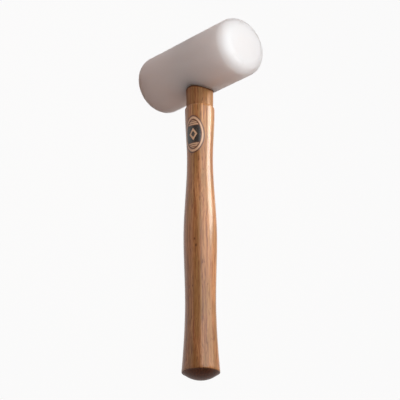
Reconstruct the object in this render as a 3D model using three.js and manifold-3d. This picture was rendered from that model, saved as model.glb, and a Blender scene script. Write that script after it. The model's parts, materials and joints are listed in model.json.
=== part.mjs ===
// Nylon mallet, standing on one striking face with its handle leaning down to the bench. The head is
// one length of round nylon bar with a tapered eye bored through it. The handle is turned ash: its
// tenon passes through the eye, is split by a saw kerf, and is spread there by a wooden wedge with
// two barbed steel wedges driven across it. The tenon's end is trimmed to the round of the head. An
// oval label is stuck on the handle's neck.
//
// Millimetres, +Z up. The mallet rests on z = 0, on the edge of one striking face and the rim of its
// butt, with the origin under the middle of its bounding box. +Y runs from the butt towards the head,
// and the head's axis leans back a little from +Z.
//
// Every piece is made in the mallet's own frame, which is turned only at the end: x along the head,
// y along the handle, y = 0 on the head's axis, z out of the side with the label.

import * as THREE from "three";
import { mergeVertices } from "three/addons/utils/BufferGeometryUtils.js";
import Module from "manifold-3d";

const wasm = await Module();
wasm.setup();

// Head
const FACE_DIAMETER = 50;
const HEAD_LENGTH = 112;
const FACE_ROUNDING = 10;

// Handle: its length runs from the crown of the butt to the end of the tenon. The shoulder and neck
// are placed down from the underside of the head, the waist and swell up from the rim of the butt
const HANDLE_LENGTH = 294.8;
const SHOULDER_BELOW_HEAD = 14;
const NECK_BELOW_HEAD = 61;
const SWELL_ABOVE_RIM = 112;
const WAIST_ABOVE_RIM = 58;
const SHOULDER_DIAMETER = 24.6;
const NECK_DIAMETER = 21.4;
const SWELL_DIAMETER = 27.1;
const WAIST_DIAMETER = 24.7;
const BUTT_DIAMETER = 30.2;
const SHOULDER_ROUNDING = 2;
const BUTT_FLARE_SLOPE = 0.085; // radius gained for each millimetre of length at the butt's rim
const BUTT_ROUNDING = 1.1;
const BUTT_CROWN = 5.2;

// Tenon and the eye that it fills: both widen towards the top of the head, and the tenon's end lies
// a little below the round of the head
const TENON_SHOULDER_DIAMETER = 22.2;
const TENON_TOP_DIAMETER = 24;
const TENON_SUNK = 0.4;
const EYE_CLEARANCE = 0.3;

// Wooden wedge, set square to the head so that it spreads the tenon along the head
const WOOD_WEDGE_LENGTH = 34;
const WOOD_WEDGE_THICKNESS = 4.2;
const WOOD_WEDGE_TIP = 1.2;

// Steel wedges, driven across the wooden one
const STEEL_WEDGE_LENGTH = 16;
const STEEL_WEDGE_WIDTH = 10;
const STEEL_WEDGE_THICKNESS = 2.4;
const STEEL_WEDGE_TIP = 0.6;
const STEEL_WEDGE_SPACING = 11;
const BARB_COUNT = 3;
const BARB_HEIGHT = 0.25;
const WEDGE_CLEARANCE = 0.3;

// Label: measured flat across its face, turned about the handle from z towards x
const LABEL_WIDTH = 17.4;
const LABEL_HEIGHT = 33.5;
const LABEL_THICKNESS = 0.25;
const LABEL_BELOW_SHOULDER = 8.7;
const LABEL_TURN = THREE.MathUtils.degToRad(19);
const LABEL_CLEARANCE = 0.05;

// Facets
const HEAD_SIDES = 70; // an odd number of pairs, so that a flat and not a corner faces the bench
const HANDLE_SIDES = 48;
const HEAD_CURVE_STEPS = 8;
const HANDLE_CURVE_STEPS = 6;
const LABEL_SIDES = 48;
const CUT_MARGIN = 5; // how far a cutting solid runs past the piece that it cuts

// Worked-out levels along the handle and radii about it
const HEAD_RADIUS = FACE_DIAMETER / 2;
const TOP = HEAD_RADIUS - TENON_SUNK;
const UNDERSIDE = -HEAD_RADIUS;
const SHOULDER = UNDERSIDE - SHOULDER_BELOW_HEAD;
const RIM = TOP - HANDLE_LENGTH + BUTT_CROWN;
const TENON_REACH = TENON_TOP_DIAMETER + 2 * CUT_MARGIN;

// Finishes
const NYLON = { color: 0xe9e4df, roughness: 0.45, metalness: 0 };
const VARNISHED_ASH = { color: 0xb98457, roughness: 0.35, metalness: 0 };
const BARE_BEECH = { color: 0x9a6b45, roughness: 0.7, metalness: 0 };
const STEEL = { color: 0x8e9296, roughness: 0.4, metalness: 1 };
const LABEL_FILM = { color: 0x3a2a20, roughness: 0.5, metalness: 0 };

function mesh(name, geometry, finish) {
  const piece = new THREE.Mesh(geometry, new THREE.MeshStandardMaterial(finish));
  piece.name = name;
  return piece;
}

// A closed geometry as a solid that can be joined and cut
function solid(geometry) {
  const bare = geometry.clone();
  bare.deleteAttribute("normal");
  bare.deleteAttribute("uv");
  const merged = mergeVertices(bare);
  return new wasm.Manifold(new wasm.Mesh({
    numProp: 3,
    vertProperties: merged.attributes.position.array,
    triVerts: Uint32Array.from(merged.index.array),
  }));
}

// A solid as a geometry again
function surface(cut) {
  const { vertProperties, triVerts } = cut.getMesh();
  const geometry = new THREE.BufferGeometry();
  geometry.setAttribute("position", new THREE.BufferAttribute(vertProperties, 3));
  geometry.setIndex(new THREE.BufferAttribute(triVerts, 1));
  geometry.computeVertexNormals();
  return geometry;
}

// A shape drawn in x and y, thick along z and centred on z = 0
function slab(shape, depth) {
  const geometry = new THREE.ExtrudeGeometry(shape, { depth, bevelEnabled: false });
  return geometry.translate(0, 0, -depth / 2);
}

// The radius of the tapered tenon at a level
function tenonRadius(level) {
  const rise = (level - SHOULDER) / (TOP - SHOULDER);
  return THREE.MathUtils.lerp(TENON_SHOULDER_DIAMETER, TENON_TOP_DIAMETER, rise) / 2;
}

// One stretch of the handle's side, level with the axis at both ends unless slopes are given
function ease(path, [fromRadius, fromLevel, fromSlope = 0], [radius, level, slope = 0]) {
  const third = (level - fromLevel) / 3;
  path.bezierCurveTo(
    fromRadius + fromSlope * third, fromLevel + third,
    radius - slope * third, level - third,
    radius, level,
  );
}

// The handle's outline from the crown of the butt to the shoulder, as radius against level
function gripPath() {
  const rim = [BUTT_DIAMETER / 2, RIM + BUTT_ROUNDING, -BUTT_FLARE_SLOPE];
  const waist = [WAIST_DIAMETER / 2, RIM + WAIST_ABOVE_RIM];
  const swell = [SWELL_DIAMETER / 2, RIM + SWELL_ABOVE_RIM];
  const neck = [NECK_DIAMETER / 2, UNDERSIDE - NECK_BELOW_HEAD];
  const shoulder = [SHOULDER_DIAMETER / 2, SHOULDER - SHOULDER_ROUNDING];

  const crownBase = rim[0] - BUTT_ROUNDING;
  const crownRadius = (crownBase ** 2 + BUTT_CROWN ** 2) / (2 * BUTT_CROWN);
  const crownSweep = Math.asin(crownBase / crownRadius);
  const down = -Math.PI / 2;

  const path = new THREE.Path();
  path.moveTo(0, RIM - BUTT_CROWN);
  path.absarc(0, RIM - BUTT_CROWN + crownRadius, crownRadius, down, down + crownSweep, false);
  path.quadraticCurveTo(rim[0], RIM, rim[0], rim[1]);
  ease(path, rim, waist);
  ease(path, waist, swell);
  ease(path, swell, neck);
  ease(path, neck, shoulder);
  return path;
}

// The whole outline: the grip, the rounded shoulder and the tapered tenon
function handleProfile() {
  const path = gripPath();
  path.quadraticCurveTo(SHOULDER_DIAMETER / 2, SHOULDER, tenonRadius(SHOULDER), SHOULDER);
  path.lineTo(tenonRadius(TOP), TOP);
  path.lineTo(0, TOP);
  return path.getPoints(HANDLE_CURVE_STEPS);
}

// The turned handle, with the end of its tenon sawn and sanded to the round of the head
function turnedHandle(profile) {
  const block = new THREE.Shape([
    new THREE.Vector2(-TENON_REACH, 0),
    new THREE.Vector2(TENON_REACH, 0),
    new THREE.Vector2(TENON_REACH, TOP + CUT_MARGIN),
    new THREE.Vector2(-TENON_REACH, TOP + CUT_MARGIN),
  ]);
  const round = new THREE.CylinderGeometry(TOP, TOP, 3 * TENON_REACH, HEAD_SIDES).rotateZ(-Math.PI / 2);
  const waste = solid(slab(block, 3 * TOP)).subtract(solid(round));
  return solid(new THREE.LatheGeometry(profile, HANDLE_SIDES)).subtract(waste);
}

// A wedge seen edge on: its thick end at a given level, grown all round by a clearance
function wedgeShape(thickness, tip, length, top, clearance, over) {
  const lean = (thickness - tip) / 2 / length;
  const wide = thickness / 2 + clearance + lean * over;
  const narrow = tip / 2 + clearance;
  return new THREE.Shape([
    new THREE.Vector2(-narrow, top - length - clearance),
    new THREE.Vector2(narrow, top - length - clearance),
    new THREE.Vector2(wide, top + over),
    new THREE.Vector2(-wide, top + over),
  ]);
}

const woodWedgeShape = (clearance, over) =>
  wedgeShape(WOOD_WEDGE_THICKNESS, WOOD_WEDGE_TIP, WOOD_WEDGE_LENGTH, TOP, clearance, over);

// A steel wedge is driven until its outer edge is level with the round end of the tenon
const STEEL_TOP = Math.sqrt(TOP ** 2 - ((STEEL_WEDGE_SPACING + STEEL_WEDGE_THICKNESS) / 2) ** 2);

// A steel wedge seen edge on, with barbs whose square sides face the top and hold it down
function steelWedgeShape() {
  const tipLevel = STEEL_TOP - STEEL_WEDGE_LENGTH;
  const side = [new THREE.Vector2(STEEL_WEDGE_TIP / 2, tipLevel)];
  for (let barb = 1; barb <= BARB_COUNT; barb += 1) {
    const share = barb / (BARB_COUNT + 1);
    const half = THREE.MathUtils.lerp(STEEL_WEDGE_TIP, STEEL_WEDGE_THICKNESS, share) / 2;
    const level = tipLevel + share * STEEL_WEDGE_LENGTH;
    side.push(new THREE.Vector2(half + BARB_HEIGHT, level), new THREE.Vector2(half, level));
  }
  side.push(new THREE.Vector2(STEEL_WEDGE_THICKNESS / 2, STEEL_TOP));
  const otherSide = side.map((point) => new THREE.Vector2(-point.x, point.y)).reverse();
  return new THREE.Shape([...side, ...otherSide]);
}

// Turns a slab so that it is thick along x, and moves it to its place beside the handle's axis
function acrossWedge(geometry, place) {
  return geometry.rotateY(Math.PI / 2).translate(0, 0, place);
}

const steelWedgePlaces = [-STEEL_WEDGE_SPACING / 2, STEEL_WEDGE_SPACING / 2];

// The two slots that the steel wedges make in the tenon and in the wooden wedge
function steelSlots() {
  const clearance = BARB_HEIGHT + WEDGE_CLEARANCE;
  const shape = wedgeShape(
    STEEL_WEDGE_THICKNESS, STEEL_WEDGE_TIP, STEEL_WEDGE_LENGTH, STEEL_TOP, clearance, CUT_MARGIN,
  );
  const width = STEEL_WEDGE_WIDTH + 2 * WEDGE_CLEARANCE;
  const [first, second] = steelWedgePlaces.map((place) => solid(acrossWedge(slab(shape, width), place)));
  return first.add(second);
}

// The head's outline from end to end, as radius against place along the head
function headProfile() {
  const end = HEAD_LENGTH / 2;
  const straight = end - FACE_ROUNDING;
  const flat = HEAD_RADIUS - FACE_ROUNDING;
  const outline = new THREE.Path();
  outline.moveTo(0, -end);
  outline.lineTo(flat, -end);
  outline.absarc(flat, -straight, FACE_ROUNDING, -Math.PI / 2, 0, false);
  outline.absarc(flat, straight, FACE_ROUNDING, 0, Math.PI / 2, false);
  outline.lineTo(0, end);
  return outline.getPoints(HEAD_CURVE_STEPS);
}

// Head: a turned bar along x, with the eye bored through it along y
function headGeometry(profile) {
  const bar = new THREE.LatheGeometry(profile, HEAD_SIDES);
  bar.rotateZ(-Math.PI / 2);

  const mouth = HEAD_RADIUS + CUT_MARGIN;
  const eye = new THREE.LatheGeometry([
    new THREE.Vector2(0, -mouth),
    new THREE.Vector2(tenonRadius(-mouth) + EYE_CLEARANCE, -mouth),
    new THREE.Vector2(tenonRadius(mouth) + EYE_CLEARANCE, mouth),
    new THREE.Vector2(0, mouth),
  ], HANDLE_SIDES);
  return surface(solid(bar).subtract(solid(eye)));
}

// Handle: turned about y, with the saw kerf and the steel wedges' slots in the top of its tenon
function handleGeometry(turned) {
  const kerf = slab(woodWedgeShape(WEDGE_CLEARANCE, CUT_MARGIN), TENON_REACH);
  return surface(turned.subtract(solid(kerf)).subtract(steelSlots()));
}

// Wooden wedge: as wide as the tenon, trimmed to the tenon's own round, split by the steel wedges
function woodWedgeGeometry(turned) {
  const blank = slab(woodWedgeShape(0, 0), TENON_REACH);
  return surface(solid(blank).intersect(turned).subtract(steelSlots()));
}

function steelWedgeGeometry(place) {
  return acrossWedge(slab(steelWedgeShape(), STEEL_WEDGE_WIDTH), place);
}

// Label: an oval cut out of a thin skin that follows the handle's side
function labelGeometry() {
  const side = gripPath().getPoints(HANDLE_CURVE_STEPS).filter((point) => point.y > RIM + BUTT_ROUNDING);
  const offset = (distance) => side.map((point) => new THREE.Vector2(point.x + distance, point.y));
  const outside = offset(LABEL_CLEARANCE + LABEL_THICKNESS);
  const inside = offset(LABEL_CLEARANCE).reverse();
  const skin = new THREE.LatheGeometry([...outside, ...inside, outside[0]], HANDLE_SIDES);

  const middle = SHOULDER - SHOULDER_ROUNDING - LABEL_BELOW_SHOULDER - LABEL_HEIGHT / 2;
  const oval = new THREE.Shape();
  oval.absellipse(0, middle, LABEL_WIDTH / 2, LABEL_HEIGHT / 2, 0, 2 * Math.PI);
  const cutter = new THREE.ExtrudeGeometry(oval, {
    depth: SHOULDER_DIAMETER, bevelEnabled: false, curveSegments: LABEL_SIDES / 2,
  });
  return surface(solid(skin).intersect(solid(cutter.rotateY(LABEL_TURN))));
}

// The tilt at which the mallet stands on the edge of its face at -x and on the rim of its butt: the
// least tilt that brings some point of the handle down to the line on which the head stands
function standingTilt(headOutline, handleOutline) {
  const tilts = handleOutline
    .filter((point) => point.y < UNDERSIDE)
    .map((point) => Math.max(
      ...headOutline.map((edge) => Math.atan2(-edge.y - point.x, -edge.x - point.y)),
    ));
  return Math.min(...tilts);
}

const headOutline = headProfile();
const handleOutline = handleProfile();
const turned = turnedHandle(handleOutline);

const mallet = new THREE.Group();
mallet.add(mesh("mallet_head", headGeometry(headOutline), NYLON));
mallet.add(mesh("handle", handleGeometry(turned), VARNISHED_ASH));
mallet.add(mesh("wood_wedge", woodWedgeGeometry(turned), BARE_BEECH));
steelWedgePlaces.forEach((place, index) => {
  mallet.add(mesh(`steel_wedge_${index + 1}`, steelWedgeGeometry(place), STEEL));
});
mallet.add(mesh("handle_label", labelGeometry(), LABEL_FILM));

// The head's axis goes up first, and then the butt comes down to the bench
mallet.rotation.set(standingTilt(headOutline, handleOutline), -Math.PI / 2, 0, "XYZ");
const box = new THREE.Box3().setFromObject(mallet, true);
const centre = box.getCenter(new THREE.Vector3());
mallet.position.set(-centre.x, -centre.y, -box.min.z);

export default mallet;
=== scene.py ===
# %% [markdown]
# # A nylon mallet, from frame to finish
# The frame holds the mallet as plain solids at their real size, standing on one striking face with its
# handle leaning down to the bench. This lesson makes what the eye sees: a turned nylon head, a varnished
# ash handle, the wedges that lock the two together and an oval label on the neck. Each step says what
# the piece is on the real tool, how it could be made in Blender, and why it is made this way.

# %% Load the frame
import json
import math

import bmesh
import bpy
from mathutils import Matrix, Vector, noise


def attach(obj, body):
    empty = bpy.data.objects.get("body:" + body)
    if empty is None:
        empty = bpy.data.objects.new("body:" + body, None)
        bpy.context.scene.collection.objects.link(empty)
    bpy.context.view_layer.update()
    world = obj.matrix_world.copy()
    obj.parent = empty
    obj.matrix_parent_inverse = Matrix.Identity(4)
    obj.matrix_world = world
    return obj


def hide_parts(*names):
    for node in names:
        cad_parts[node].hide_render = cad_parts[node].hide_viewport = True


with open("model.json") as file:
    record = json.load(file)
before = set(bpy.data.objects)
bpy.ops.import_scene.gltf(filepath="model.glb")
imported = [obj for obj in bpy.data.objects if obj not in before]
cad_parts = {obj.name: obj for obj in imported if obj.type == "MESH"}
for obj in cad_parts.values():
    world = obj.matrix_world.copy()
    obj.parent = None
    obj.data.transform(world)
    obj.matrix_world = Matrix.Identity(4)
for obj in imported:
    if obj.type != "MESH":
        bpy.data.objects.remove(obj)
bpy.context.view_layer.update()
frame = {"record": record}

# %% [markdown]
# ## The mallet's own axes
# Every piece is easiest to draw in the mallet's own frame: x along the head towards its upper face, y
# along the handle with y = 0 on the head's axis, z out of the side with the label. The standing mallet
# leans, because its butt rests on the bench too. The frame tells how much: the record names the middles
# of the two striking faces, and the line between them is the head's axis.

# %% The mallet's place and lean
MM = 0.001
faces = {mount["name"]: Vector(mount["pos_m"]) for mount in frame["record"]["mounts"]}
upper_face = faces["striking_face_upper"]
lower_face = faces["striking_face_lower"]

head_axis = (upper_face - lower_face).normalized()
label_side = Vector((-1, 0, 0))
handle_axis = label_side.cross(head_axis)
TURN = Matrix((head_axis, handle_axis, label_side)).transposed()
MALLET = Matrix.Translation((upper_face + lower_face) / 2) @ TURN.to_4x4()
lean = math.degrees(math.acos(head_axis.z))
print("head axis:", [round(v, 4) for v in head_axis], "lean, degrees:", round(lean, 3))

# %% [markdown]
# ## Driving sizes
# These repeat the real sizes of the solids, in metres. The visible pieces fit a little tighter than the
# solids do: a driven wedge leaves a hairline, not a gap.

# %% Sizes
FACE_DIAMETER = 50 * MM
HEAD_LENGTH = 112 * MM
FACE_ROUNDING = 10 * MM
EYE_LIP = 0.7 * MM

HANDLE_LENGTH = 294.8 * MM
SHOULDER_BELOW_HEAD = 14 * MM
NECK_BELOW_HEAD = 61 * MM
SWELL_ABOVE_RIM = 112 * MM
WAIST_ABOVE_RIM = 58 * MM
SHOULDER_DIAMETER = 24.6 * MM
NECK_DIAMETER = 21.4 * MM
SWELL_DIAMETER = 27.1 * MM
WAIST_DIAMETER = 24.7 * MM
BUTT_DIAMETER = 30.2 * MM
SHOULDER_ROUNDING = 2 * MM
BUTT_FLARE_SLOPE = 0.085
BUTT_ROUNDING = 1.1 * MM
BUTT_CROWN = 5.2 * MM

TENON_SHOULDER_DIAMETER = 22.2 * MM
TENON_TOP_DIAMETER = 24 * MM
TENON_SUNK = 0.4 * MM
HAIRLINE = 0.06 * MM

WOOD_WEDGE_LENGTH = 34 * MM
WOOD_WEDGE_THICKNESS = 4.2 * MM
WOOD_WEDGE_TIP = 1.2 * MM

STEEL_WEDGE_LENGTH = 16 * MM
STEEL_WEDGE_WIDTH = 10 * MM
STEEL_WEDGE_THICKNESS = 2.4 * MM
STEEL_WEDGE_TIP = 0.6 * MM
STEEL_WEDGE_SPACING = 11 * MM
BARB_COUNT = 3
BARB_HEIGHT = 0.25 * MM

LABEL_WIDTH = 17.4 * MM
LABEL_HEIGHT = 33.5 * MM
LABEL_THICKNESS = 0.12 * MM
LABEL_BELOW_SHOULDER = 8.7 * MM
LABEL_TURN = math.radians(19)
LABEL_CLEARANCE = 0.05 * MM

HEAD_RADIUS = FACE_DIAMETER / 2
TOP = HEAD_RADIUS - TENON_SUNK
SHOULDER = -HEAD_RADIUS - SHOULDER_BELOW_HEAD
RIM = TOP - HANDLE_LENGTH + BUTT_CROWN
STEEL_TOP = math.sqrt(TOP**2 - ((STEEL_WEDGE_SPACING + STEEL_WEDGE_THICKNESS) / 2) ** 2)
LABEL_MIDDLE = SHOULDER - SHOULDER_ROUNDING - LABEL_BELOW_SHOULDER - LABEL_HEIGHT / 2
print("shoulder and rim levels, mm:", round(SHOULDER / MM, 2), round(RIM / MM, 2))

# %% [markdown]
# ## Small mesh tools
# A turned piece is rows of points joined into quads. A Screw modifier would give the same, but rows in a
# list let one helper make turned pieces, the eye's wall and the label alike. Rows that share an edge are
# welded afterwards, so a closed piece comes out with no loose edges.

# %% Mesh helpers
WELD_DISTANCE = 0.001 * MM
SMOOTH_BELOW = math.radians(32)
EDGE_STEPS = 2


def add_rows(bm, rows, wrap=True):
    """Joins rows of points, all of one length, into a sheet of quads."""
    made = [[bm.verts.new(point) for point in row] for row in rows]
    count = len(rows[0])
    for lower, upper in zip(made, made[1:]):
        for i in range(count if wrap else count - 1):
            j = (i + 1) % count
            bm.faces.new((lower[i], lower[j], upper[j], upper[i]))


def weld(bm):
    """Joins points that lie together, drops faces without area and turns the rest outwards."""
    bmesh.ops.remove_doubles(bm, verts=bm.verts, dist=WELD_DISTANCE)
    bmesh.ops.dissolve_degenerate(bm, edges=bm.edges, dist=WELD_DISTANCE / 10)
    bmesh.ops.recalc_face_normals(bm, faces=bm.faces)


def as_object(name, bm):
    """Makes an object of the rows."""
    weld(bm)
    mesh = bpy.data.meshes.new(name)
    bm.to_mesh(mesh)
    bm.free()
    made = bpy.data.objects.new(name, mesh)
    bpy.context.scene.collection.objects.link(made)
    return made


def apply_modifiers(piece):
    """Keeps what the piece's modifiers make as its own mesh."""
    shown = piece.evaluated_get(bpy.context.evaluated_depsgraph_get())
    made = bpy.data.meshes.new_from_object(shown)
    piece.modifiers.clear()
    piece.data = made


def mend_mesh(piece):
    """Welds a mesh that a modifier has cut, and splits its faces with many corners."""
    bm = bmesh.new()
    bm.from_mesh(piece.data)
    weld(bm)
    many_cornered = [face for face in bm.faces if len(face.verts) > 4]
    bmesh.ops.triangulate(bm, faces=many_cornered)
    bm.to_mesh(piece.data)
    bm.free()


def trim(piece, tool, operation):
    """Cuts a piece with a tool piece, or keeps what they share, and throws the tool away."""
    step = piece.modifiers.new("trim", "BOOLEAN")
    step.operation = operation
    step.solver = "MANIFOLD"
    step.object = tool
    apply_modifiers(piece)
    bpy.data.objects.remove(tool)
    mend_mesh(piece)


def break_edges(piece, width):
    """Rounds the sharp edges of a stamped piece."""
    step = piece.modifiers.new("broken edges", "BEVEL")
    step.width = width
    step.segments = EDGE_STEPS
    step.limit_method = "ANGLE"
    step.angle_limit = SMOOTH_BELOW
    apply_modifiers(piece)
    mend_mesh(piece)


def set_down(piece, material, node):
    """Lays a finished piece in its place on the frame, where it stands for a plain solid."""
    piece.data.transform(MALLET)
    piece.data.materials.clear()
    piece.data.materials.append(material)
    piece.data.shade_smooth()
    piece.data.set_sharp_from_angle(angle=SMOOTH_BELOW)
    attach(piece, "root")
    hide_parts(node)
    print(piece.name, "faces:", len(piece.data.polygons))


# %% [markdown]
# ## Small shader tools
# Materials are trees of small steps. These helpers make one step each and hand back its output socket,
# so that a material below reads like a recipe.

# %% Shader helpers


def wire(tree, value, socket):
    """Links a socket to an input, or sets a plain value on it."""
    if isinstance(value, bpy.types.NodeSocket):
        tree.links.new(value, socket)
    else:
        socket.default_value = value


def sum_of(tree, operation, *values, clamp=False):
    step = tree.nodes.new("ShaderNodeMath")
    step.operation = operation
    step.use_clamp = clamp
    for value, socket in zip(values, step.inputs):
        wire(tree, value, socket)
    return step.outputs["Value"]


def vector_of(tree, operation, *values):
    step = tree.nodes.new("ShaderNodeVectorMath")
    step.operation = operation
    for value, socket in zip(values, step.inputs):
        wire(tree, value, socket)
    return step.outputs["Value" if operation in {"LENGTH", "DOT_PRODUCT"} else "Vector"]


def parts_of(tree, vector):
    step = tree.nodes.new("ShaderNodeSeparateXYZ")
    wire(tree, vector, step.inputs["Vector"])
    return step.outputs["X"], step.outputs["Y"], step.outputs["Z"]


def cloud(tree, place, scale, detail=2.0, rough=0.5, output="Fac"):
    step = tree.nodes.new("ShaderNodeTexNoise")
    wire(tree, place, step.inputs["Vector"])
    wire(tree, scale, step.inputs["Scale"])
    wire(tree, detail, step.inputs["Detail"])
    wire(tree, rough, step.inputs["Roughness"])
    return step.outputs[output]


def band(tree, value, low, high, from_value=0.0, to_value=1.0):
    """A soft step: from_value below low, to_value above high."""
    step = tree.nodes.new("ShaderNodeMapRange")
    step.interpolation_type = "SMOOTHSTEP"
    wire(tree, value, step.inputs["Value"])
    wire(tree, low, step.inputs["From Min"])
    wire(tree, high, step.inputs["From Max"])
    wire(tree, from_value, step.inputs["To Min"])
    wire(tree, to_value, step.inputs["To Max"])
    return step.outputs["Result"]


def tint(tree, amount, first, second, mode="MIX"):
    step = tree.nodes.new("ShaderNodeMix")
    step.data_type = "RGBA"
    step.blend_type = mode
    factor, one, two = (step.inputs[i] for i in (0, 6, 7))
    wire(tree, amount, factor)
    wire(tree, first, one)
    wire(tree, second, two)
    return step.outputs[2]


def relief(tree, height, distance, strength):
    step = tree.nodes.new("ShaderNodeBump")
    wire(tree, height, step.inputs["Height"])
    step.inputs["Distance"].default_value = distance
    step.inputs["Strength"].default_value = strength
    return step.outputs["Normal"]


def new_material(name):
    """A material with an empty tree apart from its Principled shader."""
    material = bpy.data.materials.new(name)
    material.use_nodes = True
    tree = material.node_tree
    return material, tree, tree.nodes["Principled BSDF"]


def new_group(name, inputs, outputs):
    """A shader group with named sockets; gives its tree, its inputs and its outputs."""
    tree = bpy.data.node_groups.new(name, "ShaderNodeTree")
    for label, kind in inputs.items():
        tree.interface.new_socket(label, in_out="INPUT", socket_type=kind)
    for label, kind in outputs.items():
        tree.interface.new_socket(label, in_out="OUTPUT", socket_type=kind)
    return tree, tree.nodes.new("NodeGroupInput").outputs, tree.nodes.new("NodeGroupOutput").inputs


def use_group(tree, group, **values):
    step = tree.nodes.new("ShaderNodeGroup")
    step.node_tree = group
    for label, value in values.items():
        wire(tree, value, step.inputs[label.replace("_", " ")])
    return step.outputs


def distance_of(tree, first, second):
    """The length of a vector that is given by its two parts."""
    squares = sum_of(tree, "MULTIPLY_ADD", first, first, sum_of(tree, "MULTIPLY", second, second))
    return sum_of(tree, "SQRT", squares)


def mallet_place(tree):
    """The shaded point in the mallet's own frame, in millimetres."""
    coordinates = tree.nodes.new("ShaderNodeTexCoord")
    turn = tree.nodes.new("ShaderNodeMapping")
    to_mallet = MALLET.inverted()
    turn.inputs["Scale"].default_value = (1 / MM, 1 / MM, 1 / MM)
    turn.inputs["Rotation"].default_value = to_mallet.to_euler()
    turn.inputs["Location"].default_value = to_mallet.translation / MM
    tree.links.new(coordinates.outputs["Object"], turn.inputs["Vector"])
    return turn.outputs["Vector"]


print("shader helpers ready")

# %% [markdown]
# ## Wood figure, as a group
# Ash is ring-porous: each year starts with a band of open pores and ends in dense wood. Cut along
# the tree, the rings show as long streaks with short dark dashes in them; cut across, as arcs. A picture
# of wood would fit only one of these. Here the wood is solid: rings are distances from the pith, a line
# beside the handle, so side grain and end grain agree wherever the lathe cuts. Handle and wooden wedge
# both use it, each with its own ring width and pith.

# %% Wood figure group


def make_wood_figure():
    tree, given, out = new_group(
        "wood figure",
        {
            "Place": "NodeSocketVector",
            "Pith": "NodeSocketVector",
            "Ring Width": "NodeSocketFloat",
        },
        {name: "NodeSocketFloat" for name in ("Ring", "Fibre", "Pore", "Tone", "Fleck")},
    )
    # Fibres wander sideways over some centimetres
    slow = vector_of(tree, "MULTIPLY", given["Place"], (0.05, 0.012, 0.05))
    wander = vector_of(tree, "SUBTRACT", cloud(tree, slow, 1.0, 2.0, output="Color"), (0.5, 0.5, 0.5))
    bent = vector_of(tree, "MULTIPLY_ADD", wander, (3.2, 0.0, 3.2), given["Place"])

    # Rings: distance from the pith, which leans a little from the handle
    flat = vector_of(tree, "MULTIPLY", vector_of(tree, "SUBTRACT", bent, given["Pith"]), (1.0, 0.022, 1.0))
    x, lean, z = parts_of(tree, flat)
    leaned = tree.nodes.new("ShaderNodeCombineXYZ")
    wire(tree, sum_of(tree, "ADD", x, lean), leaned.inputs["X"])
    wire(tree, z, leaned.inputs["Z"])
    distance = vector_of(tree, "LENGTH", leaned.outputs["Vector"])
    uneven = cloud(tree, vector_of(tree, "MULTIPLY", bent, (0.22, 0.01, 0.22)), 1.0, 2.0)
    years = sum_of(tree, "ADD", sum_of(tree, "DIVIDE", distance, given["Ring Width"]), uneven)
    age = sum_of(tree, "FRACT", years)
    early = band(tree, age, 0.0, 0.62, 1.0, 0.0)
    ring = sum_of(tree, "MULTIPLY", early, band(tree, age, 0.0, 0.12))
    strength = cloud(tree, vector_of(tree, "MULTIPLY", bent, (0.12, 0.03, 0.12)), 1.0, 1.0)
    ring = sum_of(tree, "MULTIPLY", ring, band(tree, strength, 0.38, 0.62, 0.25))
    wire(tree, ring, out["Ring"])

    # Fibre: long fine streaks, two sizes of them
    broad = cloud(tree, vector_of(tree, "MULTIPLY", bent, (0.55, 0.012, 0.55)), 1.0, 3.0, 0.6)
    fine = cloud(tree, vector_of(tree, "MULTIPLY", bent, (2.6, 0.05, 2.6)), 1.0, 3.0, 0.6)
    fibre = sum_of(tree, "MULTIPLY_ADD", broad, 0.55, sum_of(tree, "MULTIPLY", fine, 0.45))
    wire(tree, fibre, out["Fibre"])

    # Pores: short open dashes, most of them in the early wood
    dashes = cloud(tree, vector_of(tree, "MULTIPLY", bent, (1.6, 0.13, 1.6)), 1.0, 1.0, 0.4)
    crowd = sum_of(tree, "MULTIPLY_ADD", ring, 0.75, 0.25)
    wire(tree, sum_of(tree, "MULTIPLY", band(tree, dashes, 0.54, 0.66), crowd), out["Pore"])

    # Tone: slow change of colour; flecks: rare dark dashes
    tone = cloud(tree, vector_of(tree, "MULTIPLY", bent, (0.2, 0.026, 0.2)), 1.0, 2.0)
    wire(tree, band(tree, tone, 0.38, 0.62), out["Tone"])
    rare = cloud(tree, vector_of(tree, "MULTIPLY", bent, (0.75, 0.16, 0.75)), 1.0, 1.0, 0.3)
    wire(tree, band(tree, rare, 0.73, 0.78), out["Fleck"])
    return tree


wood_figure = make_wood_figure()
print("wood figure group nodes:", len(wood_figure.nodes))

# %% [markdown]
# ## Handling marks, as a group
# Nylon, varnish and the label film all pick up the same two things from the bench: hair-fine scratches
# and faint smudges that change the gloss. Scratches are the thin walls between large irregular cells,
# broken up so that only short pieces are left.

# %% Handling marks group


def make_handling_marks():
    tree, given, out = new_group(
        "handling marks",
        {"Place": "NodeSocketVector", "Size": "NodeSocketFloat"},
        {"Scratch": "NodeSocketFloat", "Smudge": "NodeSocketFloat"},
    )
    scaled = vector_of(tree, "DIVIDE", given["Place"], given["Size"])
    stretched = vector_of(tree, "MULTIPLY", scaled, (0.5, 1.0, 0.8))
    sway = cloud(tree, stretched, 1.4, 1.0, output="Color")
    bent = vector_of(tree, "MULTIPLY_ADD", sway, (0.6, 0.6, 0.6), stretched)
    cells = tree.nodes.new("ShaderNodeTexVoronoi")
    cells.feature = "DISTANCE_TO_EDGE"
    wire(tree, bent, cells.inputs["Vector"])
    cells.inputs["Scale"].default_value = 1.0
    line = band(tree, cells.outputs["Distance"], 0.0, 0.012, 1.0, 0.0)
    broken = band(tree, cloud(tree, scaled, 1.1, 2.0), 0.52, 0.66)
    wire(tree, sum_of(tree, "MULTIPLY", line, broken), out["Scratch"])
    wire(tree, band(tree, cloud(tree, scaled, 0.8, 4.0, 0.6), 0.35, 0.7), out["Smudge"])
    return tree


handling_marks = make_handling_marks()
print("handling marks group nodes:", len(handling_marks.nodes))

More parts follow.
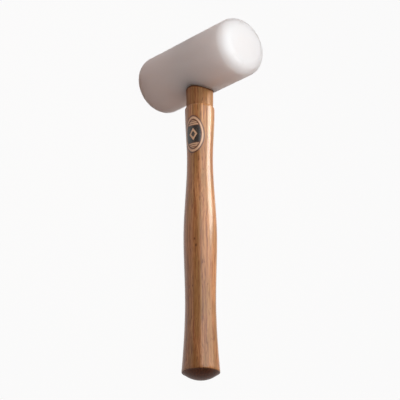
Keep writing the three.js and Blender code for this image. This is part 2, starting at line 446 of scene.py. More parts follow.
# %% [markdown]
# ## Nylon
# The head is cast nylon bar, turned on a lathe: milky white and satin, with fine tool rings round the bar
# and round its ends. Light goes deep into nylon, so the lit face glows some way down the shaded side. A
# plain white plastic would look like paper. Subsurface gives the milk and the glow, and the rings are
# relief, because they are far finer than any face of the mesh.

# %% Nylon material
NYLON_DIM = (0.855, 0.795, 0.775, 1)
NYLON_BRIGHT = (0.895, 0.835, 0.815, 1)
NYLON_SOIL = (0.5, 0.46, 0.42, 1)
NYLON_GLOW_DEPTH = 27 * MM
NYLON_IOR = 1.53
TOOL_FEED = 0.45


def make_nylon():
    material, tree, shader = new_material("turned nylon")
    place = mallet_place(tree)
    along, up, across = parts_of(tree, place)
    marks = use_group(tree, handling_marks, Place=place, Size=22.0)

    # Tool rings follow the bar's length on its side and its radius on its ends
    radius = distance_of(tree, up, across)
    travel = sum_of(tree, "SUBTRACT", sum_of(tree, "ABSOLUTE", along), radius)
    feed = sum_of(tree, "MULTIPLY", travel, 2 * math.pi / TOOL_FEED)
    drift = cloud(tree, place, 0.06, 2.0)
    rings = sum_of(tree, "SINE", sum_of(tree, "MULTIPLY_ADD", drift, 9.0, feed))
    depth = sum_of(tree, "MULTIPLY_ADD", rings, 0.5, cloud(tree, place, 1.2, 3.0))
    marked = sum_of(tree, "SUBTRACT", depth, marks["Scratch"])
    tree.links.new(relief(tree, marked, 0.02 * MM, 0.35), shader.inputs["Normal"])

    milk = cloud(tree, place, 0.035, 3.0, 0.55)
    colour = tint(tree, milk, NYLON_DIM, NYLON_BRIGHT)
    soiled = tint(tree, sum_of(tree, "MULTIPLY", marks["Scratch"], 0.1), colour, NYLON_SOIL)
    tree.links.new(soiled, shader.inputs["Base Color"])
    tree.links.new(band(tree, marks["Smudge"], 0.0, 1.0, 0.4, 0.52), shader.inputs["Roughness"])
    shader.inputs["IOR"].default_value = NYLON_IOR
    shader.inputs["Subsurface Weight"].default_value = 1.0
    shader.inputs["Subsurface Radius"].default_value = (1.0, 0.95, 0.92)
    shader.inputs["Subsurface Scale"].default_value = NYLON_GLOW_DEPTH
    return material


nylon = make_nylon()
print("material:", nylon.name)

# %% [markdown]
# ## The head
# One turned bar with a tapered eye through it. A boolean cut would leave long thin faces round the eye,
# and those shade badly on a smooth white surface. So the head is laid out as a maker would mark it: the
# two ends are plain turned rings, and round each mouth of the eye a patch of the bar's side runs from a
# rectangle on the bar to the round of the eye. One sheet of rows then goes over the upper patch, round
# the eased lip, down the eye's wall and out over the lower patch.

# %% Head
BAR_INSIDE_SOLID = 0.03 * MM
BAR_RADIUS = HEAD_RADIUS - BAR_INSIDE_SOLID
HEAD_SIDES = 160
PATCH_SIDES = 18
PATCH_HALF_WIDTH = 17 * MM
PATCH_COLUMNS = 20
PATCH_RINGS = 6
RUN_STEPS = 8
ROUNDING_STEPS = 14
FACE_STEPS = 6
LIP_STEPS = 5
EYE_STEPS = 8


def tenon_radius(level):
    rise = (level - SHOULDER) / (TOP - SHOULDER)
    return (TENON_SHOULDER_DIAMETER + (TENON_TOP_DIAMETER - TENON_SHOULDER_DIAMETER) * rise) / 2


def bar_point(x, radius, angle):
    """A point on a ring about the head's axis; angle 0 is at the top of the eye."""
    return Vector((x, radius * math.cos(angle), radius * math.sin(angle)))


def head_end_outline():
    """(x, radius) from the edge of the eye's patch, over the rounding, to the middle of the face."""
    end = HEAD_LENGTH / 2
    flat = BAR_RADIUS - FACE_ROUNDING
    straight = end - FACE_ROUNDING
    step = (straight - PATCH_HALF_WIDTH) / RUN_STEPS
    run = [(PATCH_HALF_WIDTH + step * i, BAR_RADIUS) for i in range(RUN_STEPS)]
    quarter = [math.pi / 2 * i / ROUNDING_STEPS for i in range(ROUNDING_STEPS + 1)]
    rounding = [(straight + FACE_ROUNDING * math.sin(a), flat + FACE_ROUNDING * math.cos(a)) for a in quarter]
    face = [(end, flat * (1 - i / FACE_STEPS)) for i in range(1, FACE_STEPS + 1)]
    return run + rounding + face


def patch_border(columns, angles):
    """Once round the rectangle on the bar's side, as (x, offset across the bar)."""
    low, high = angles[0], angles[-1]
    border = [(x, low) for x in columns[:-1]]
    border += [(columns[-1], a) for a in angles[:-1]]
    border += [(x, high) for x in reversed(columns[1:])]
    border += [(columns[0], a) for a in reversed(angles[1:])]
    return [(x, BAR_RADIUS * math.sin(a)) for x, a in border]


def mouth_rows(border, radius, side):
    """Rows from the rectangle to the eye's wall at one mouth; side is 1 at the top, -1 underneath."""

    def on_bar(x, offset, sunk=0.0):
        return Vector((x, side * (math.sqrt(BAR_RADIUS**2 - offset**2) - sunk), offset))

    turns = [math.atan2(offset, x) for x, offset in border]
    lip_edge = [((radius + EYE_LIP) * math.cos(t), (radius + EYE_LIP) * math.sin(t)) for t in turns]
    rows = []
    for ring in range(PATCH_RINGS + 1):
        share = ring / PATCH_RINGS
        rows.append([
            on_bar(x + (lx - x) * share, o + (lo - o) * share)
            for (x, o), (lx, lo) in zip(border, lip_edge)
        ])
    for step in range(1, LIP_STEPS + 1):
        bend = math.pi / 2 * step / LIP_STEPS
        reach = radius + EYE_LIP * (1 - math.sin(bend))
        sunk = EYE_LIP * (1 - math.cos(bend))
        rows.append([on_bar(reach * math.cos(t), reach * math.sin(t), sunk) for t in turns])
    return rows


def make_head():
    turn = 2 * math.pi / HEAD_SIDES
    columns = [PATCH_HALF_WIDTH * (2 * i / PATCH_COLUMNS - 1) for i in range(PATCH_COLUMNS + 1)]
    patch_angles = [turn * i for i in range(-PATCH_SIDES, PATCH_SIDES + 1)]
    side_angles = [turn * i for i in range(PATCH_SIDES, HEAD_SIDES // 2 - PATCH_SIDES + 1)]
    bm = bmesh.new()
    for sign in (-1, 1):
        add_rows(bm, [
            [bar_point(sign * x, radius, turn * i) for i in range(HEAD_SIDES)]
            for x, radius in head_end_outline()
        ])
        add_rows(bm, [
            [bar_point(x, BAR_RADIUS, sign * a) for x in columns] for a in side_angles
        ], wrap=False)

    border = patch_border(columns, patch_angles)
    upper = mouth_rows(border, tenon_radius(HEAD_RADIUS) + HAIRLINE, 1)
    lower = mouth_rows(border, tenon_radius(-HEAD_RADIUS) + HAIRLINE, -1)
    wall = [
        [top.lerp(bottom, step / EYE_STEPS) for top, bottom in zip(upper[-1], lower[-1])]
        for step in range(1, EYE_STEPS)
    ]
    add_rows(bm, upper + wall + lower[::-1])
    return as_object("nylon_head", bm)


head = make_head()
set_down(head, nylon, "mallet_head")

# %% [markdown]
# ## Varnished ash
# The handle's wood is tan to orange-brown, with redder and olive streaks, dark dashes of open pores, a few
# flecks and two pin knots on the grip. The varnish stops at the shoulder: the tenon above it is bare and
# a little greyer, with a line of painted shade where it enters the head. The end grain is darker, from
# varnish sunk into it and, most of all at the butt, from painted shade. The figure group gives the masks;
# this material only chooses the colours. The coat is the shader's own coat layer, so the wood stays rough
# underneath while the varnish shines.

# %% Varnished ash material
GRAIN_RED = (0.26, 0.081, 0.03, 1)
GRAIN_TAN = (0.31, 0.108, 0.036, 1)
GRAIN_PALE = (0.62, 0.288, 0.118, 1)
GRAIN_OLIVE = (0.27, 0.143, 0.042, 1)
PORE_BROWN = (0.1, 0.033, 0.012, 1)
# Butt end grain: wood darkened by varnish sunk into it, with painted shade on top
BUTT_SOAKED_AND_SHADED = (0.34, 0.26, 0.18, 1)
TENON_SOAKED = (0.62, 0.5, 0.42, 1)
BARE_GREY = (0.8, 0.82, 0.86, 1)
ASH_PITH = (-37.0, 0.0, 41.0)
ASH_RING_WIDTH = 2.3
VARNISH = 0.65
VARNISH_WORN = 0.06
VARNISH_ROUGHNESS = 0.22
# Reach of the painted shade where the tenon enters the head, in mm from the head's axis
JOINT_SHADE_NEAR = HEAD_RADIUS / MM + 0.3
JOINT_SHADE_FAR = HEAD_RADIUS / MM + 1.0
PIN_KNOTS = {(6.3, -158.5, 11.9): 0.85, (7.2, -163.9, 11.2): 1.1}


def along_handle(tree):
    """1 where the surface faces along the handle, as end grain does, and 0 on its side."""
    facing = tree.nodes.new("ShaderNodeNewGeometry").outputs["Normal"]
    return sum_of(tree, "ABSOLUTE", vector_of(tree, "DOT_PRODUCT", facing, handle_axis))


def make_varnished_ash():
    material, tree, shader = new_material("varnished ash")
    place = mallet_place(tree)
    figure = use_group(tree, wood_figure, Place=place, Pith=ASH_PITH, Ring_Width=ASH_RING_WIDTH)
    marks = use_group(tree, handling_marks, Place=place, Size=30.0)

    colour = tint(tree, band(tree, figure["Fibre"], 0.36, 0.64), GRAIN_TAN, GRAIN_PALE)
    colour = tint(tree, sum_of(tree, "MULTIPLY", figure["Tone"], 0.5), colour, GRAIN_OLIVE)
    colour = tint(tree, sum_of(tree, "MULTIPLY", figure["Ring"], 0.55), colour, GRAIN_RED)
    colour = tint(tree, sum_of(tree, "MULTIPLY", figure["Pore"], 0.9), colour, PORE_BROWN)
    colour = tint(tree, sum_of(tree, "MULTIPLY", figure["Fleck"], 0.8), colour, PORE_BROWN)
    for knot, size in PIN_KNOTS.items():
        away = vector_of(tree, "MULTIPLY", vector_of(tree, "SUBTRACT", place, knot), (1.0, 0.55, 1.0))
        spot = band(tree, vector_of(tree, "LENGTH", away), 0.2 * size, size, 0.9, 0.0)
        colour = tint(tree, spot, colour, PORE_BROWN)
    y, z = parts_of(tree, place)[1:]
    from_axis = distance_of(tree, y, z)
    # Painted shade: a dark band on the wood just inside and just below the eye's lower mouth
    under_head = band(tree, y, -2.0, 0.0, 0.8, 0.0)
    painted_joint_shade = band(tree, from_axis, JOINT_SHADE_NEAR, JOINT_SHADE_FAR, 1.0, 0.0)
    colour = tint(tree, sum_of(tree, "MULTIPLY", painted_joint_shade, under_head), colour, PORE_BROWN)
    bare = band(tree, y, SHOULDER / MM - 0.6, SHOULDER / MM - 0.2)
    greyed = tint(tree, 1.0, colour, BARE_GREY, "MULTIPLY")
    colour = tint(tree, bare, colour, greyed)
    # End grain darker: partly varnish sunk into it, partly painted shade at the butt, which faces away from
    # the lamps
    end_grain = band(tree, along_handle(tree), 0.55, 0.85)
    soaked_and_shaded = tint(tree, band(tree, y, -30.0, 0.0), BUTT_SOAKED_AND_SHADED, TENON_SOAKED)
    darkened_end_grain = tint(tree, 1.0, colour, soaked_and_shaded, "MULTIPLY")
    colour = tint(tree, end_grain, colour, darkened_end_grain)
    tree.links.new(colour, shader.inputs["Base Color"])

    rough = sum_of(tree, "MULTIPLY_ADD", figure["Fibre"], 0.14, 0.36)
    rough = sum_of(tree, "MULTIPLY_ADD", marks["Smudge"], 0.06, rough)
    tree.links.new(rough, shader.inputs["Roughness"])
    open_grain = sum_of(tree, "SUBTRACT", sum_of(tree, "MULTIPLY", figure["Fibre"], 0.35), figure["Pore"])
    tree.links.new(relief(tree, open_grain, 0.08 * MM, 0.5), shader.inputs["Normal"])
    dull = sum_of(tree, "ADD", sum_of(tree, "ADD", marks["Scratch"], end_grain), bare)
    coat = band(tree, dull, 0.0, 1.0, VARNISH, VARNISH_WORN)
    tree.links.new(coat, shader.inputs["Coat Weight"])
    shader.inputs["Specular IOR Level"].default_value = 0.15
    shader.inputs["Coat Roughness"].default_value = VARNISH_ROUGHNESS
    shader.inputs["Coat IOR"].default_value = 1.5
    return material


varnished_ash = make_varnished_ash()
print("material:", varnished_ash.name)

# %% [markdown]
# ## The handle
# A turner's shape: a tapered tenon, a small shoulder, a slim neck, a swell for the palm, a waist and a
# flared butt with a crowned end. It could be a spun curve; here the outline is a list of radii against
# levels, because the label has to lie on the very same outline. The saw kerf and the slots of the steel
# wedges are cut into the top of the tenon, where straight cuts in flat wood do no harm to the shading.

# %% Handle
HANDLE_SIDES = 128
SIDE_STEPS = 26
CROWN_STEPS = 12
CORNER_STEPS = 6
TENON_STEPS = 16
END_STEPS = 6
CUT_MARGIN = 5 * MM
HAND_WANDER = 0.07 * MM
WANDER_SCALE = 38.0
WANDER_FREQUENCY = 1.3


def curve_points(corners, steps):
    """Points along a Bezier curve through its first and last corner, without the first."""
    points = []
    for step in range(1, steps + 1):
        layer = [Vector(corner) for corner in corners]
        while len(layer) > 1:
            layer = [a.lerp(b, step / steps) for a, b in zip(layer, layer[1:])]
        points.append(layer[0])
    return points


def side_stretch(start, end, start_slope=0.0):
    """One stretch of the handle's side, running level with the axis into its far end."""
    third = (end[1] - start[1]) / 3
    return curve_points([
        start,
        (start[0] + start_slope * third, start[1] + third),
        (end[0], end[1] - third),
        end,
    ], SIDE_STEPS)


def grip_outline():
    """(radius, level) from the crown of the butt to the shoulder."""
    rim = (BUTT_DIAMETER / 2, RIM + BUTT_ROUNDING)
    waist = (WAIST_DIAMETER / 2, RIM + WAIST_ABOVE_RIM)
    swell = (SWELL_DIAMETER / 2, RIM + SWELL_ABOVE_RIM)
    neck = (NECK_DIAMETER / 2, -HEAD_RADIUS - NECK_BELOW_HEAD)
    shoulder = (SHOULDER_DIAMETER / 2, SHOULDER - SHOULDER_ROUNDING)
    crown_base = rim[0] - BUTT_ROUNDING
    crown_radius = (crown_base**2 + BUTT_CROWN**2) / (2 * BUTT_CROWN)
    sweep = math.asin(crown_base / crown_radius)
    crown = [
        Vector((crown_radius * math.sin(a), RIM - BUTT_CROWN + crown_radius * (1 - math.cos(a))))
        for a in (sweep * i / CROWN_STEPS for i in range(CROWN_STEPS + 1))
    ]
    edge = curve_points([crown[-1], (rim[0], RIM), rim], CORNER_STEPS)
    return (
        crown + edge + side_stretch(rim, waist, -BUTT_FLARE_SLOPE) + side_stretch(waist, swell)
        + side_stretch(swell, neck) + side_stretch(neck, shoulder)
    )


def shouldered_outline():
    """The grip and the eased shoulder at its top."""
    ledge = (tenon_radius(SHOULDER), SHOULDER)
    corner = [(SHOULDER_DIAMETER / 2, SHOULDER - SHOULDER_ROUNDING), (SHOULDER_DIAMETER / 2, SHOULDER), ledge]
    return grip_outline() + curve_points(corner, CORNER_STEPS)


def ways_round():
    turns = [2 * math.pi * i / HANDLE_SIDES for i in range(HANDLE_SIDES)]
    return [Vector((math.sin(turn), 0, math.cos(turn))) for turn in turns]


def turned_rows(outline, wander):
    """Rings about the handle's axis; wander is how far a sanded side strays from a true round."""
    rows = []
    for radius, level in outline:
        row = []
        for way in ways_round():
            spot = (way + Vector((0, level * WANDER_SCALE, 0))) * WANDER_FREQUENCY
            stray = wander * abs(noise.noise(spot)) * (radius > wander)
            row.append(way * (radius - stray) + Vector((0, level, 0)))
        rows.append(row)
    return rows


def tenon_rows():
    """The tapered tenon, and its end sanded to a round just inside the head's."""
    rim = tenon_radius(TOP)

    def end_point(way, radius):
        return way * radius + Vector((0, math.sqrt(TOP**2 - (radius * way.z) ** 2), 0))

    rows = []
    for step in range(1, TENON_STEPS + 1):
        row = []
        for way in ways_round():
            level = SHOULDER + (end_point(way, rim).y - SHOULDER) * step / TENON_STEPS
            row.append(way * tenon_radius(level) + Vector((0, level, 0)))
        rows.append(row)
    for step in range(1, END_STEPS + 1):
        rows.append([end_point(way, rim * (1 - step / END_STEPS)) for way in ways_round()])
    return rows


def wedge_outline(thickness, tip, length, top, spare=0.0, over=0.0):
    """A wedge seen edge on, as (across, level): its thick end at top, with spare room all round."""
    lean = (thickness - tip) / 2 / length
    narrow = tip / 2 + spare
    wide = thickness / 2 + spare + lean * over
    bottom = top - length - spare
    return [(-narrow, bottom), (narrow, bottom), (wide, top + over), (-wide, top + over)]


def wood_wedge_outline(spare):
    return wedge_outline(WOOD_WEDGE_THICKNESS, WOOD_WEDGE_TIP, WOOD_WEDGE_LENGTH, TOP, spare, CUT_MARGIN)


def slab(name, outline, width, turned=False, place=0.0):
    """An outline made thick: along z, or turned to be thick along x and moved along z."""
    bm = bmesh.new()
    rows = []
    for depth in (-width / 2, width / 2):
        rows.append([Vector((depth, y, x + place)) if turned else Vector((x, y, depth)) for x, y in outline])
    add_rows(bm, rows)
    for row in rows:
        bm.faces.new([bm.verts.new(point) for point in row])
    return as_object(name, bm)


STEEL_PLACES = (-STEEL_WEDGE_SPACING / 2, STEEL_WEDGE_SPACING / 2)
TENON_REACH = TENON_TOP_DIAMETER + 2 * CUT_MARGIN


def cut_steel_slots(piece):
    spare = BARB_HEIGHT + HAIRLINE
    outline = wedge_outline(
        STEEL_WEDGE_THICKNESS, STEEL_WEDGE_TIP, STEEL_WEDGE_LENGTH, STEEL_TOP, spare, CUT_MARGIN,
    )
    for place in STEEL_PLACES:
        trim(piece, slab("slot", outline, STEEL_WEDGE_WIDTH + 2 * HAIRLINE, True, place), "DIFFERENCE")


def make_turned(name, wander):
    bm = bmesh.new()
    add_rows(bm, turned_rows(shouldered_outline(), wander) + tenon_rows())
    return as_object(name, bm)


def make_handle():
    piece = make_turned("ash_handle", HAND_WANDER)
    trim(piece, slab("kerf", wood_wedge_outline(HAIRLINE), TENON_REACH), "DIFFERENCE")
    cut_steel_slots(piece)
    return piece


handle = make_handle()
set_down(handle, varnished_ash, "handle")

# %% [markdown]
# ## Bare beech
# The wooden wedge is sawn from fine-grained wood and left bare. It uses the same wood figure with a
# narrower ring, and no coat.

# %% Bare beech material
BEECH_DARK = (0.34, 0.17, 0.08, 1)
BEECH_PALE = (0.5, 0.29, 0.16, 1)
BEECH_RING = (0.15, 0.06, 0.03, 1)
BEECH_PITH = (22.0, 0.0, 9.0)
BEECH_RING_WIDTH = 1.6


def make_bare_beech():
    material, tree, shader = new_material("bare beech")
    place = mallet_place(tree)
    figure = use_group(tree, wood_figure, Place=place, Pith=BEECH_PITH, Ring_Width=BEECH_RING_WIDTH)
    colour = tint(tree, figure["Fibre"], BEECH_DARK, BEECH_PALE)
    colour = tint(tree, sum_of(tree, "MULTIPLY", figure["Ring"], 0.5), colour, BEECH_RING)
    colour = tint(tree, sum_of(tree, "MULTIPLY", figure["Pore"], 0.6), colour, PORE_BROWN)
    tree.links.new(colour, shader.inputs["Base Color"])
    tree.links.new(band(tree, figure["Fibre"], 0.2, 0.8, 0.6, 0.8), shader.inputs["Roughness"])
    crushed = sum_of(tree, "ADD", figure["Fibre"], cloud(tree, place, 1.6, 3.0))
    tree.links.new(relief(tree, crushed, 0.15 * MM, 0.6), shader.inputs["Normal"])
    return material


bare_beech = make_bare_beech()
print("material:", bare_beech.name)

# %% [markdown]
# ## The wooden wedge
# As wide as the tenon and trimmed to the tenon's own round: the shape that the two have in common is
# exactly that, so a boolean keeps it, and the steel wedges' slots are then cut out of it.

# %% Wooden wedge


def make_wood_wedge():
    piece = slab("beech_wedge", wood_wedge_outline(0.0), TENON_REACH)
    trim(piece, make_turned("tenon", 0.0), "INTERSECT")
    cut_steel_slots(piece)
    return piece


wood_wedge = make_wood_wedge()
set_down(wood_wedge, bare_beech, "wood_wedge")

# %% [markdown]
# ## Wedge steel
# Stamped mild steel, grey from the mill, with bright bruises where the hammer drove it and a breath of
# rust. The bruises and the rust are soft clouds; the metal itself is the shader's.

# %% Wedge steel material
MILL_GREY = (0.2, 0.2, 0.205, 1)
BRUISE_BRIGHT = (0.46, 0.46, 0.47, 1)
RUST_BROWN = (0.2, 0.075, 0.03, 1)


def make_wedge_steel():
    material, tree, shader = new_material("wedge steel")
    place = mallet_place(tree)
    bruise = band(tree, cloud(tree, place, 0.5, 2.0), 0.45, 0.6)
    rust = band(tree, cloud(tree, place, 0.9, 4.0, 0.65), 0.56, 0.72)
    colour = tint(tree, bruise, MILL_GREY, BRUISE_BRIGHT)
    colour = tint(tree, sum_of(tree, "MULTIPLY", rust, 0.55), colour, RUST_BROWN)
    tree.links.new(colour, shader.inputs["Base Color"])
    tree.links.new(band(tree, rust, 0.0, 1.0, 1.0, 0.5), shader.inputs["Metallic"])
    tree.links.new(sum_of(tree, "MULTIPLY_ADD", rust, 0.35, 0.36), shader.inputs["Roughness"])
    tree.links.new(relief(tree, cloud(tree, place, 0.7, 3.0), 0.2 * MM, 0.5), shader.inputs["Normal"])
    return material


wedge_steel = make_wedge_steel()
print("material:", wedge_steel.name)

# %% [markdown]
# ## The steel wedges
# Two stamped wedges cross the wooden one. Each has barbs whose square sides face the top of the handle,
# so that it drives in and doesn't walk out. They are one outline made thick, with the stamped edges eased.

# %% Steel wedges
STAMPED_EDGE = 0.12 * MM


def steel_outline():
    tip_level = STEEL_TOP - STEEL_WEDGE_LENGTH
    side = [(STEEL_WEDGE_TIP / 2, tip_level)]
    for barb in range(1, BARB_COUNT + 1):
        share = barb / (BARB_COUNT + 1)
        half = (STEEL_WEDGE_TIP + (STEEL_WEDGE_THICKNESS - STEEL_WEDGE_TIP) * share) / 2
        level = tip_level + share * STEEL_WEDGE_LENGTH
        side += [(half + BARB_HEIGHT, level), (half, level)]
    side.append((STEEL_WEDGE_THICKNESS / 2, STEEL_TOP))
    return side + [(-across, level) for across, level in reversed(side)]


for number, place in enumerate(STEEL_PLACES, start=1):
    steel_wedge = slab(f"barbed_wedge_{number}", steel_outline(), STEEL_WEDGE_WIDTH, True, place)
    break_edges(steel_wedge, STAMPED_EDGE)
    set_down(steel_wedge, wedge_steel, f"steel_wedge_{number}")

# %% [markdown]
# ## Label print
# A plain maker's oval: a dark rim, a cream ring, cream ends with brown lines, and a black
# panel with a lozenge across the middle. It is drawn from distances on the label itself, so it needs no
# picture: the label's place on the handle is turned flat, and each shape is a soft step of a distance.

# %% Label material
PRINT_CREAM = (0.68, 0.41, 0.25, 1)
PRINT_BROWN = (0.12, 0.04, 0.018, 1)
PRINT_BLACK = (0.016, 0.013, 0.012, 1)
PRINT_WORN = (0.3, 0.17, 0.09, 1)
PRINT_EDGE = 0.22
PANEL_REACH = 7.4
LOZENGE_OUTSIDE = 5.4
LOZENGE_INSIDE = 2.9
LOZENGE_SLIMNESS = 1.5
LINE_SPACING = 1.7
LINE_REACH = 0.3
RING_INSET = 2.1
RIM_REACH = 0.35
EDGE_INSET = 0.7


def inside(tree, value, limit):
    """1 where a distance in millimetres is below a limit, with the soft edge of printing."""
    return band(tree, value, limit - PRINT_EDGE, limit + PRINT_EDGE, 1.0, 0.0)


def make_label_print():
    material, tree, shader = new_material("label print")
    place = mallet_place(tree)
    marks = use_group(tree, handling_marks, Place=place, Size=9.0)
    turn = tree.nodes.new("ShaderNodeMapping")
    turn.inputs["Rotation"].default_value = (0, -LABEL_TURN, 0)
    turn.inputs["Location"].default_value = (0, -LABEL_MIDDLE / MM, 0)
    tree.links.new(place, turn.inputs["Vector"])
    across, along = parts_of(tree, turn.outputs["Vector"])[:2]

    # Distance from the label's middle, with the oval squeezed to a circle
    half_width = LABEL_WIDTH / 2 / MM
    half_height = LABEL_HEIGHT / 2 / MM
    lengthened = sum_of(tree, "MULTIPLY", along, half_width / half_height)
    reach = distance_of(tree, across, lengthened)
    out = sum_of(tree, "ABSOLUTE", along)
    side = sum_of(tree, "ABSOLUTE", across)

    wave = sum_of(tree, "PINGPONG", out, LINE_SPACING)
    lines = sum_of(tree, "ABSOLUTE", sum_of(tree, "SUBTRACT", wave, LINE_SPACING / 2))
    colour = tint(tree, inside(tree, lines, LINE_REACH), PRINT_CREAM, PRINT_BROWN)
    panel = inside(tree, out, PANEL_REACH)
    colour = tint(tree, panel, colour, PRINT_BLACK)
    lozenge = sum_of(tree, "ADD", sum_of(tree, "MULTIPLY", side, LOZENGE_SLIMNESS), out)
    colour = tint(tree, inside(tree, lozenge, LOZENGE_OUTSIDE), colour, PRINT_CREAM)
    colour = tint(tree, inside(tree, lozenge, LOZENGE_INSIDE), colour, PRINT_BLACK)
    ring = sum_of(tree, "SUBTRACT", 1.0, inside(tree, reach, half_width - RING_INSET))
    colour = tint(tree, ring, colour, PRINT_CREAM)
    rim = sum_of(tree, "ABSOLUTE", sum_of(tree, "SUBTRACT", reach, half_width - RING_INSET))
    colour = tint(tree, inside(tree, rim, RIM_REACH), colour, PRINT_BROWN)
    edge = sum_of(tree, "SUBTRACT", 1.0, inside(tree, reach, half_width - EDGE_INSET))
    colour = tint(tree, edge, colour, PRINT_BROWN)

    worn = sum_of(tree, "MULTIPLY", band(tree, cloud(tree, place, 0.9, 4.0, 0.7), 0.5, 0.72), 0.45)
    colour = tint(tree, worn, colour, PRINT_WORN)
    tree.links.new(colour, shader.inputs["Base Color"])
    tree.links.new(band(tree, marks["Smudge"], 0.0, 1.0, 0.34, 0.5), shader.inputs["Roughness"])
    paper = sum_of(tree, "SUBTRACT", cloud(tree, place, 2.2, 3.0), marks["Scratch"])
    tree.links.new(relief(tree, paper, 0.03 * MM, 0.4), shader.inputs["Normal"])
    shader.inputs["Coat Weight"].default_value = 0.3
    shader.inputs["Coat Roughness"].default_value = 0.2
    return material


label_print = make_label_print()
print("material:", label_print.name)

# %% [markdown]
# ## The label
# A thin oval film on the neck. Shrinkwrapping a flat oval would do, but the handle's outline is known, so
# each ring of the oval is set straight onto it: a point's level picks the handle's radius, and its offset
# across the label picks how far round it lies. The film's edge is eased down onto the varnish.

# %% Label
LABEL_SIDES = 96
LABEL_RINGS = 16
FILM_EDGE = 0.985


def make_label():
    outline = grip_outline()
    facing = Matrix.Rotation(LABEL_TURN, 3, "Y")

    def handle_radius(level):
        for (low_radius, low), (high_radius, high) in zip(outline, outline[1:]):
            if low <= level <= high:
                return low_radius + (high_radius - low_radius) * (level - low) / (high - low)
        raise ValueError("the label runs off the handle's side")

    def ring(share, height):
        points = []
        for i in range(LABEL_SIDES):
            turn = 2 * math.pi * i / LABEL_SIDES
            across = share * LABEL_WIDTH / 2 * math.cos(turn)
            level = LABEL_MIDDLE + share * LABEL_HEIGHT / 2 * math.sin(turn)
            radius = handle_radius(level) + height
            points.append(facing @ Vector((across, level, math.sqrt(radius**2 - across**2))))
        return points

    face = LABEL_CLEARANCE + LABEL_THICKNESS
    shares = [FILM_EDGE * i / LABEL_RINGS for i in range(LABEL_RINGS + 1)]
    rows = [ring(share, face) for share in shares]
    rows.append(ring(1.0, LABEL_CLEARANCE + LABEL_THICKNESS / 2))
    rows += [ring(share, LABEL_CLEARANCE) for share in reversed(shares)]
    bm = bmesh.new()
    add_rows(bm, rows)
    return as_object("oval_label", bm)


label = make_label()
set_down(label, label_print, "handle_label")

# %% [markdown]
# ## Floor
# The mallet stands on a pale floor that fills the picture. To the camera and to reflections the floor is
# mostly a plain white of strength 1; the rest of it is an ordinary matt surface, which keeps the mallet's
# shadow and sends a little warm light up.

# %% Floor
FLOOR_SIZE = 40.0
FLOOR_WHITE = 0.95
FLOOR_BROWN = (0.36, 0.25, 0.2, 1)


def make_floor():
    material = bpy.data.materials.new("pale floor")
    material.use_nodes = True
    tree = material.node_tree
    tree.nodes.remove(tree.nodes["Principled BSDF"])
    matt = tree.nodes.new("ShaderNodeBsdfDiffuse")
    matt.inputs["Color"].default_value = FLOOR_BROWN
    white = tree.nodes.new("ShaderNodeEmission")
    white.inputs["Color"].default_value = (1, 1, 1, 1)
    white.inputs["Strength"].default_value = 1.0
    path = tree.nodes.new("ShaderNodeLightPath")
    seen = sum_of(tree, "ADD", path.outputs["Is Camera Ray"], path.outputs["Is Glossy Ray"])
    seen = sum_of(tree, "ADD", seen, path.outputs["Is Transmission Ray"], clamp=True)
    blend = tree.nodes.new("ShaderNodeMixShader")
    wire(tree, sum_of(tree, "MULTIPLY", seen, FLOOR_WHITE), blend.inputs["Fac"])
    tree.links.new(matt.outputs["BSDF"], blend.inputs[1])
    tree.links.new(white.outputs["Emission"], blend.inputs[2])
    tree.links.new(blend.outputs["Shader"], tree.nodes["Material Output"].inputs["Surface"])

    mesh = bpy.data.meshes.new("floor")
    half = FLOOR_SIZE / 2
    corners = [(-half, -half, 0), (half, -half, 0), (half, half, 0), (-half, half, 0)]
    mesh.from_pydata(corners, [], [(0, 1, 2, 3)])
    mesh.materials.append(material)
    floor = bpy.data.objects.new("floor", mesh)
    bpy.context.scene.collection.objects.link(floor)


make_floor()
print("floor, m:", FLOOR_SIZE)

# %% [markdown]
# ## Light
# A near softbox over the head makes its upper face and the rounding bright and leaves the side towards
# the camera in soft shade. The varnish mirrors a second, smaller softbox in one long streak, and a weak
# one beside it lets the streak fade out along the grip. Both shine on the handle and its label alone:
# light linking does what black flags do in a studio, so that the white face isn't lit twice. A broad
# lamp on the right and two weak glows draw the outlines, and dim warm surroundings fill the shade.

# %% Lamps and surroundings
STREAK_WHITE = (1.0, 0.97, 0.9)
SURROUNDINGS = (1.0, 0.36, 0.22, 1)
SURROUNDINGS_STRENGTH = 0.1


def add_lamp(name, place, target, size, power, colour):
    lamp = bpy.data.lights.new(name, "AREA")
    lamp.shape = "RECTANGLE"
    lamp.size, lamp.size_y = size
    lamp.energy = power
    lamp.color = colour
    stand = bpy.data.objects.new(name, lamp)
    stand.location = place
    stand.rotation_euler = (Vector(target) - Vector(place)).to_track_quat("-Z", "Y").to_euler()
    bpy.context.scene.collection.objects.link(stand)
    return stand


def flag(stand, pieces):
    """Keeps a lamp's light on some pieces only."""
    lit = bpy.data.collections.new(stand.name + "_lit")
    for piece in pieces:
        lit.objects.link(piece)
    stand.light_linking.receiver_collection = lit


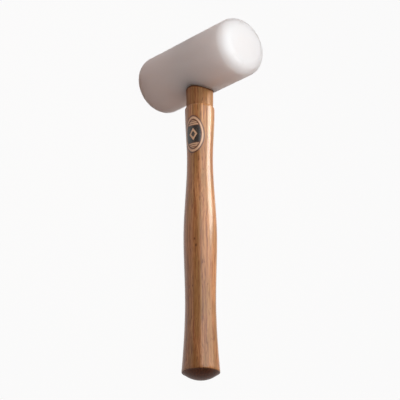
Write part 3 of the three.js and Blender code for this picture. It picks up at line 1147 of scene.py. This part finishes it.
streak = add_lamp("streak_softbox", (0.33, 0.21, 0.5), (0, 0.05, 0.05), (0.2, 0.32), 3.1, STREAK_WHITE)
tail = add_lamp("streak_tail", (0.33, 0.03, 0.5), (0, -0.05, 0.05), (0.16, 0.2), 0.12, STREAK_WHITE)
for lamp in (streak, tail):
    flag(lamp, [handle, label])
add_lamp("overhead_softbox", (-0.07, 0.05, 0.37), (0, 0.1, 0.1), (0.36, 0.36), 1.26, (0.872, 0.967, 1.0))
add_lamp("right_softbox", (0.85, 0.3, 0.7), (0, 0.05, 0.06), (1.0, 1.0), 1.8, (0.9, 0.98, 1.0))
add_lamp("back_glow", (-0.7, 1.1, 0.5), (0, 0.1, 0.06), (0.8, 0.5), 1.7, (1.0, 0.9, 0.87))
add_lamp("front_glow", (0.75, -0.9, 0.35), (0, 0.1, 0.06), (0.8, 0.5), 1.2, (1.0, 0.85, 0.77))

world = bpy.data.worlds.new("surroundings")
world.use_nodes = True
background = world.node_tree.nodes["Background"]
background.inputs["Color"].default_value = SURROUNDINGS
background.inputs["Strength"].default_value = SURROUNDINGS_STRENGTH
bpy.context.scene.world = world
bpy.context.scene.view_settings.view_transform = "Standard"

# %% [markdown]
# ## Camera
# A long lens looks down at the mallet from its left and front, and is rolled until the handle stands
# upright in the picture. The numbers come from fitting the head's outline, the handle's line and the
# rim of the butt to the photograph.

# %% Camera
AIM = Vector((-0.14, -1.67, 38.22)) * MM
AZIMUTH = math.radians(-52.56)
ELEVATION = math.radians(38.01)
ROLL = math.radians(-57.34)
DISTANCE = 1214.3 * MM
LENS = 135.0


def make_camera():
    back = Vector((
        math.sin(AZIMUTH) * math.cos(ELEVATION),
        -math.cos(AZIMUTH) * math.cos(ELEVATION),
        math.sin(ELEVATION),
    ))
    level_right = Vector((0, 0, 1)).cross(back).normalized()
    level_up = back.cross(level_right)
    up = level_up * math.cos(ROLL) + level_right * math.sin(ROLL)
    right = up.cross(back)
    lens = bpy.data.cameras.new("camera")
    lens.lens = LENS
    lens.sensor_width = 36.0
    lens.clip_start = 0.05
    lens.clip_end = 100.0
    camera = bpy.data.objects.new("camera", lens)
    turn = Matrix((right, up, back)).transposed().to_4x4()
    camera.matrix_world = Matrix.Translation(AIM + back * DISTANCE) @ turn
    bpy.context.scene.collection.objects.link(camera)
    bpy.context.scene.camera = camera
    return camera


camera = make_camera()
print("camera at, m:", [round(v, 4) for v in camera.location])

# %% [markdown]
# ## Finish
# The view layer is brought up to date. The visible pieces may not outgrow the solids.

# %% Finish
bpy.context.view_layer.update()
